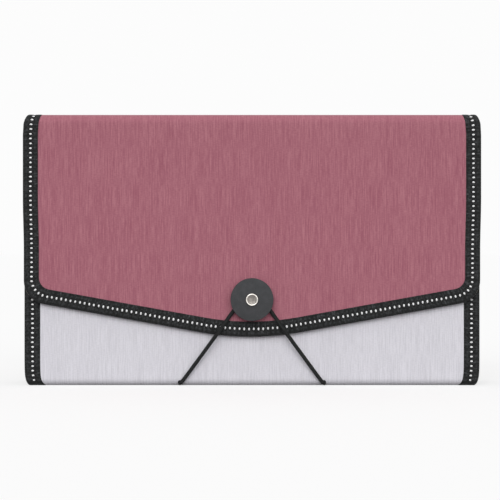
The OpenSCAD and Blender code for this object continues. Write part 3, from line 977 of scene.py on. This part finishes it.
def greyboard():
    """Unlined greyboard, pressed from mixed pulp: warm grey, flecked, matt."""
    return grained("unlined greyboard", [(0.9, 0.9, 4.0, 0, 1)],
                   [(0.35, "#8A857B"), (0.5, "#9E998E"), (0.65, "#ABA69B")], 0.08, 0.5,
                   Roughness=0.95, Specular_IOR_Level=0.2)


def pocket_film():
    """Extruded polypropylene sheet, sand embossed: charcoal, satin, with a fine pebble."""
    return grained("charcoal polypropylene sheet", [(0.35, 0.35, 1.0, 0, 0.4), (12, 12, 3.0, 6.0, 0.6)],
                   [(0.35, "#36373A"), (0.5, "#3E3F43"), (0.65, "#46474B")], 0.05, 0.5,
                   Roughness=0.45, IOR=1.49)


def label_paper():
    """Uncoated self-adhesive paper: soft white with a faint fibre."""
    return grained("uncoated white label paper", [(1.2, 0.5, 3.0, 0, 1)],
                   [(0.35, "#E4E3DE"), (0.65, "#EFEEEA")], 0.03, 0.4,
                   Roughness=0.9, Specular_IOR_Level=0.2)


def punched_fibre():
    """Bonded leather fibre, pressed and punched: even charcoal, matt, with a faint grain."""
    return grained("charcoal bonded leather fibre", [(0.4, 0.4, 2.0, 0, 0.35), (2.5, 2.5, 3.0, 4.0, 0.65)],
                   [(0.35, "#3A3B3D"), (0.5, "#3F4042"), (0.65, "#454548")], 0.06, 0.4,
                   Roughness=0.75, Specular_IOR_Level=0.3)


def plated_nickel():
    """Nickel plate on brass: the rolled rim is a warm bright mirror, the punched dish is matt and greyer."""
    nickel = blank_material("barrel polished nickel plate")
    place = own_place(nickel)
    scuffs = grain(nickel, place, 0.3 * MM, 0.3 * MM, 3.0)
    cloud = grain(nickel, place, 1.2 * MM, 1.2 * MM, 2.0, 3.0)
    centred = add_node(nickel, "Mapping", Vector=place, Location=(-DISC_X, 0, -DISC_Z), Scale=(1, 0, 1))
    radius = add_node(nickel, "VectorMath", {"operation": "LENGTH"}, "Value", in0=centred)
    rim = add_node(nickel, "MapRange", Value=radius, From_Min=1.9 * MM, From_Max=2.08 * MM)
    dish = shades(nickel, cloud, [(0.3, "#6E6A66"), (0.7, "#8B8681")])
    bright = shades(nickel, cloud, [(0.3, "#D6D1CA"), (0.7, "#E6E1DB")])
    rough = add_node(nickel, "MapRange", Value=rim, To_Min=0.42, To_Max=0.16)
    colour = mixed(nickel, rim, dish, bright)
    return surface(nickel, colour, scuffs, 0.02 * MM, 0.3, Metallic=1.0, Roughness=rough)


def braided_elastic():
    """Round elastic, braided black polyester over rubber: fine slanting strands that cross."""
    elastic = blank_material("black braided elastic")
    flat = on_flat_cloth(elastic)
    strands = []
    for way in (-1, 1):
        turned = add_node(elastic, "Mapping", Vector=flat, Rotation=(0, 0, way * radians(38)),
                          Scale=(1 / (0.32 * MM), 1 / (2.4 * MM), 1))
        strands.append((add_node(elastic, "TexNoise", Vector=turned, Scale=1.0, Detail=1.0), 0.5))
    braid = weighed(elastic, strands)
    colour = shades(elastic, braid, [(0.36, "#101111"), (0.5, "#191A1A"), (0.64, "#272828")])
    return surface(elastic, colour, braid, 0.12 * MM, 0.8, Roughness=0.75, Specular_IOR_Level=0.25)


def studio_floor():
    """A plain pale sweep: it shows white to the camera and in gloss, and keeps the wallet's shadow."""
    sweep = blank_material("white studio sweep")
    paint = add_node(sweep, "BsdfDiffuse", Color=linear("#A6A6A6"))
    bounce = add_node(sweep, "BsdfDiffuse", Color=linear("#949494"))
    glow = add_node(sweep, "Emission", Color=(1, 1, 1, 1), Strength=0.65)
    shown = add_node(sweep, "AddShader", in0=paint, in1=glow)
    cover = add_node(sweep, "MixShader", Fac=seen(sweep), in1=bounce, in2=shown)
    add_node(sweep, "OutputMaterial", Surface=cover)
    return sweep


finishes = {
    "mauve": book_cloth("mauve slub book cloth", "#9D5D6C", "#A86976", "#B57782"),
    "lilac": book_cloth("lilac slub book cloth", "#D6D4DB", "#DEDCE3", "#E6E4EB"),
    "tape": woven_tape(),
    "thread": sewing_thread(),
    "lining": lining_cloth(),
    "board": greyboard(),
    "film": pocket_film(),
    "paper": label_paper(),
    "disc": punched_fibre(),
    "nickel": plated_nickel(),
    "elastic": braided_elastic(),
}

# Light and floor
# Each lamp's name, strength, spread, and its place in degrees to the left and above
SUNS = (
    ("key_light", 1.03, 40, (-12, 31)),
    ("fill_light", 1.12, 60, (20, 5)),
)


def add_light():
    """A big soft light high at the front left, a weaker one at the right, and an even sky."""
    for name, strength, spread_deg, (aside, height) in SUNS:
        bpy.ops.object.light_add(type="SUN", rotation=(radians(90 - height), 0, radians(aside)))
        lamp = bpy.context.object
        lamp.name = name
        lamp.data.energy = strength
        lamp.data.angle = radians(spread_deg)
    world = bpy.data.worlds.new("pale_sky")
    bpy.context.scene.world = world
    world.use_nodes = True
    world.node_tree.nodes.clear()
    sky = add_node(world, "Background", Color=(1, 1, 1, 1), Strength=0.6)
    white = add_node(world, "Background", Color=(1, 1, 1, 1), Strength=0.975)
    dome = add_node(world, "MixShader", Fac=seen(world), in1=sky, in2=white)
    add_node(world, "OutputWorld", Surface=dome)


def add_floor():
    """The sweep, wide enough to reach past the picture."""
    bpy.ops.mesh.primitive_plane_add(size=40, location=(0, 0, 0))
    settle(bpy.context.object, "floor", studio_floor())


def stand_in(piece, slot, *nodes):
    """Hides the plain solids that the piece stands for, if any. The piece and the slot are not used."""
    if nodes:
        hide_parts(*nodes)


# The making, in order
add_camera()
SIDES = ((-1, "left"), (1, "right"))

line = smooth_route(CORD_ROUTE, CORD_RING_RUN)
elastic = make_elastic(line)
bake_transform(elastic)
stand_in(elastic, "elastic_cord", "elastic_loop")

stitch = make_stitch()

# Flap and the front half of the top
outside = (-CLOTH_SINK, CLOTH_T, (0, 0, 1), finishes["mauve"])
inside = (LINING_SINK - PANEL_T, LINING_T, (0, 0, -1), finishes["lining"])
flap_cover = lay_over_flap("flap_cover", *outside)
flap_inside = lay_over_flap("flap_inside", *inside)
flap_places = flap_stations()
flap_tape = fold_tape("flap_tape", flap_places)
flap_seam = sew("flap_seam", flap_places)
for piece, slot, *nodes in (
    (flap_cover, "mauve_cloth", "flap_cloth", "fold_front_cloth", "top_cloth"),
    (flap_inside, "grey_lining", "flap_lining", "top_lining"),
    (flap_tape, "black_tape", "flap_binding", "fold_front_binding", "top_binding_left", "top_binding_right"),
    (flap_seam, "black_tape"),
):
    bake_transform(piece)
    stand_in(piece, slot, *nodes)

# Back and the rear half of the top. The left tape also stands for the binding of the back fold
back_cover = lay_over_back("back_cover", *outside, to_foot=True)
back_inside = lay_over_back("back_inside", *inside, to_foot=False)
back_pieces = [
    (back_cover, "mauve_cloth", "back_cloth", "fold_back_cloth"),
    (back_inside, "grey_lining", "back_lining"),
]
for x_side, hand in SIDES:
    places = back_stations(x_side)
    tape = fold_tape(f"back_tape_{hand}", places)
    seam = sew(f"back_seam_{hand}", places, BACK_BARE)
    back_pieces.append((tape, "black_tape", f"back_binding_{hand}", f"bottom_binding_{hand}"))
    back_pieces.append((seam, "black_tape"))
for piece, slot, *nodes in back_pieces:
    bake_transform(piece)
    stand_in(piece, slot, *nodes)
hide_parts("fold_back_binding")

# Bottom
bottom_cover = lay_bottom(
    "bottom_cover", BOTTOM_FRONT, BACK_IN + HALF_T, CLOTH_SINK, CLOTH_T, (0, 0, -1), finishes["lilac"])
bottom_inside = lay_bottom(
    "bottom_inside", FRONT_IN + BOTTOM_LINING_BACK, BACK_IN, PANEL_T - CLOTH_SINK, LINING_T, (0, 0, 1),
    finishes["lining"])

# Front panel
sunk_r = HALF_T - CLOTH_SINK
over_top = [
    (FRONT_MID - sunk_r * sin(turn), FRONT_H - HALF_T + sunk_r * cos(turn))
    for turn in spread(-pi / 2, pi / 2, 10)[:-1]
]
front_cover = lay_over_front(
    "front_cover", over_top + front_line(CLOTH_SINK), TUCK, CLOTH_T, (0, 1, 0), finishes["lilac"])
front_inside = lay_over_front(
    "front_inside", front_line(PANEL_T - LINING_SINK)[1:], LINING_TUCK, LINING_T, (0, 1, 0),
    finishes["lining"])
cut_cord_slots(front_cover)
cut_cord_slots(front_inside)
for piece, body, slot, node in (
    (bottom_cover, "back", "lilac_cloth", "bottom_cloth"),
    (bottom_inside, "back", "grey_lining", "bottom_lining"),
    (front_cover, "front", "lilac_cloth", "front_cloth"),
    (front_inside, "front", "grey_lining", "front_lining"),
):
    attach(piece, body)
    stand_in(piece, slot, node)
for x_side, hand in SIDES:
    places = front_stations(x_side)
    tape = fold_tape(f"front_tape_{hand}", places, FRONT_BARE[0])
    seam = sew(f"front_seam_{hand}", places, FRONT_BARE)
    for piece, *nodes in ((tape, f"front_binding_{hand}"), (seam,)):
        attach(piece, "front")
        stand_in(piece, "black_tape", *nodes)
bpy.data.objects.remove(stitch)

# Disc and rivet
disc = make_disc()
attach(disc, "disc")
stand_in(disc, "disc_fibre", "closure_disc")
rivet = make_rivet()
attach(rivet, "flap")
stand_in(rivet, "nickel", "rivet")

# Leaves, labels and gussets
for node, body in (("back_leaf", "back"), ("front_leaf", "front")):
    leaf = make_leaf(node + "_sheet", node)
    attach(leaf, body)
    stand_in(leaf, "charcoal_film", node)
for k in range(1, 5):
    label_low, label_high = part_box(f"tab_label_{k}")
    leaf = make_leaf(f"divider_{k}_sheet", f"divider_{k}", (label_low.x + label_high.x) / 2)
    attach(leaf, f"leaf_{k}")
    stand_in(leaf, "charcoal_film", f"divider_{k}")
    label = make_label(f"tab_label_{k}_paper", f"tab_label_{k}")
    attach(label, f"leaf_{k}")
    stand_in(label, "white_label", f"tab_label_{k}")
bodies = ["back", "leaf_1", "leaf_2", "leaf_3", "leaf_4", "front"]
for k, (behind, before) in enumerate(zip(bodies, bodies[1:]), 1):
    gusset = make_gusset(f"gusset_{k}_film", f"gusset_{k}")
    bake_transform(gusset)
    stand_in(gusset, "charcoal_film", f"gusset_{k}")

# Boards, narrower where the covers draw in, and the front one shorter to leave room for its round foot
for node, body, narrower, shorter, round_foot in (
    ("front_board", "front", 0, 2.2 * MM, True), ("back_board", "back", 0, 0, True),
    ("top_board", "top", 0.8 * MM, 0, False), ("bottom_board", "back", 2.4 * MM, 0, False),
):
    board = make_board(node + "_cut", node, narrower, shorter, round_foot)
    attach(board, body)
    stand_in(board, "greyboard", node)

# CAD pieces that stay, with their finishes
kept = {"flap_board": "board", "burr": "nickel", "spacer": "disc", "elastic_knots": "elastic"}
for node, finish in kept.items():
    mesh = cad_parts[node].data
    mesh.materials.clear()
    mesh.materials.append(finishes[finish])

add_light()
add_floor()
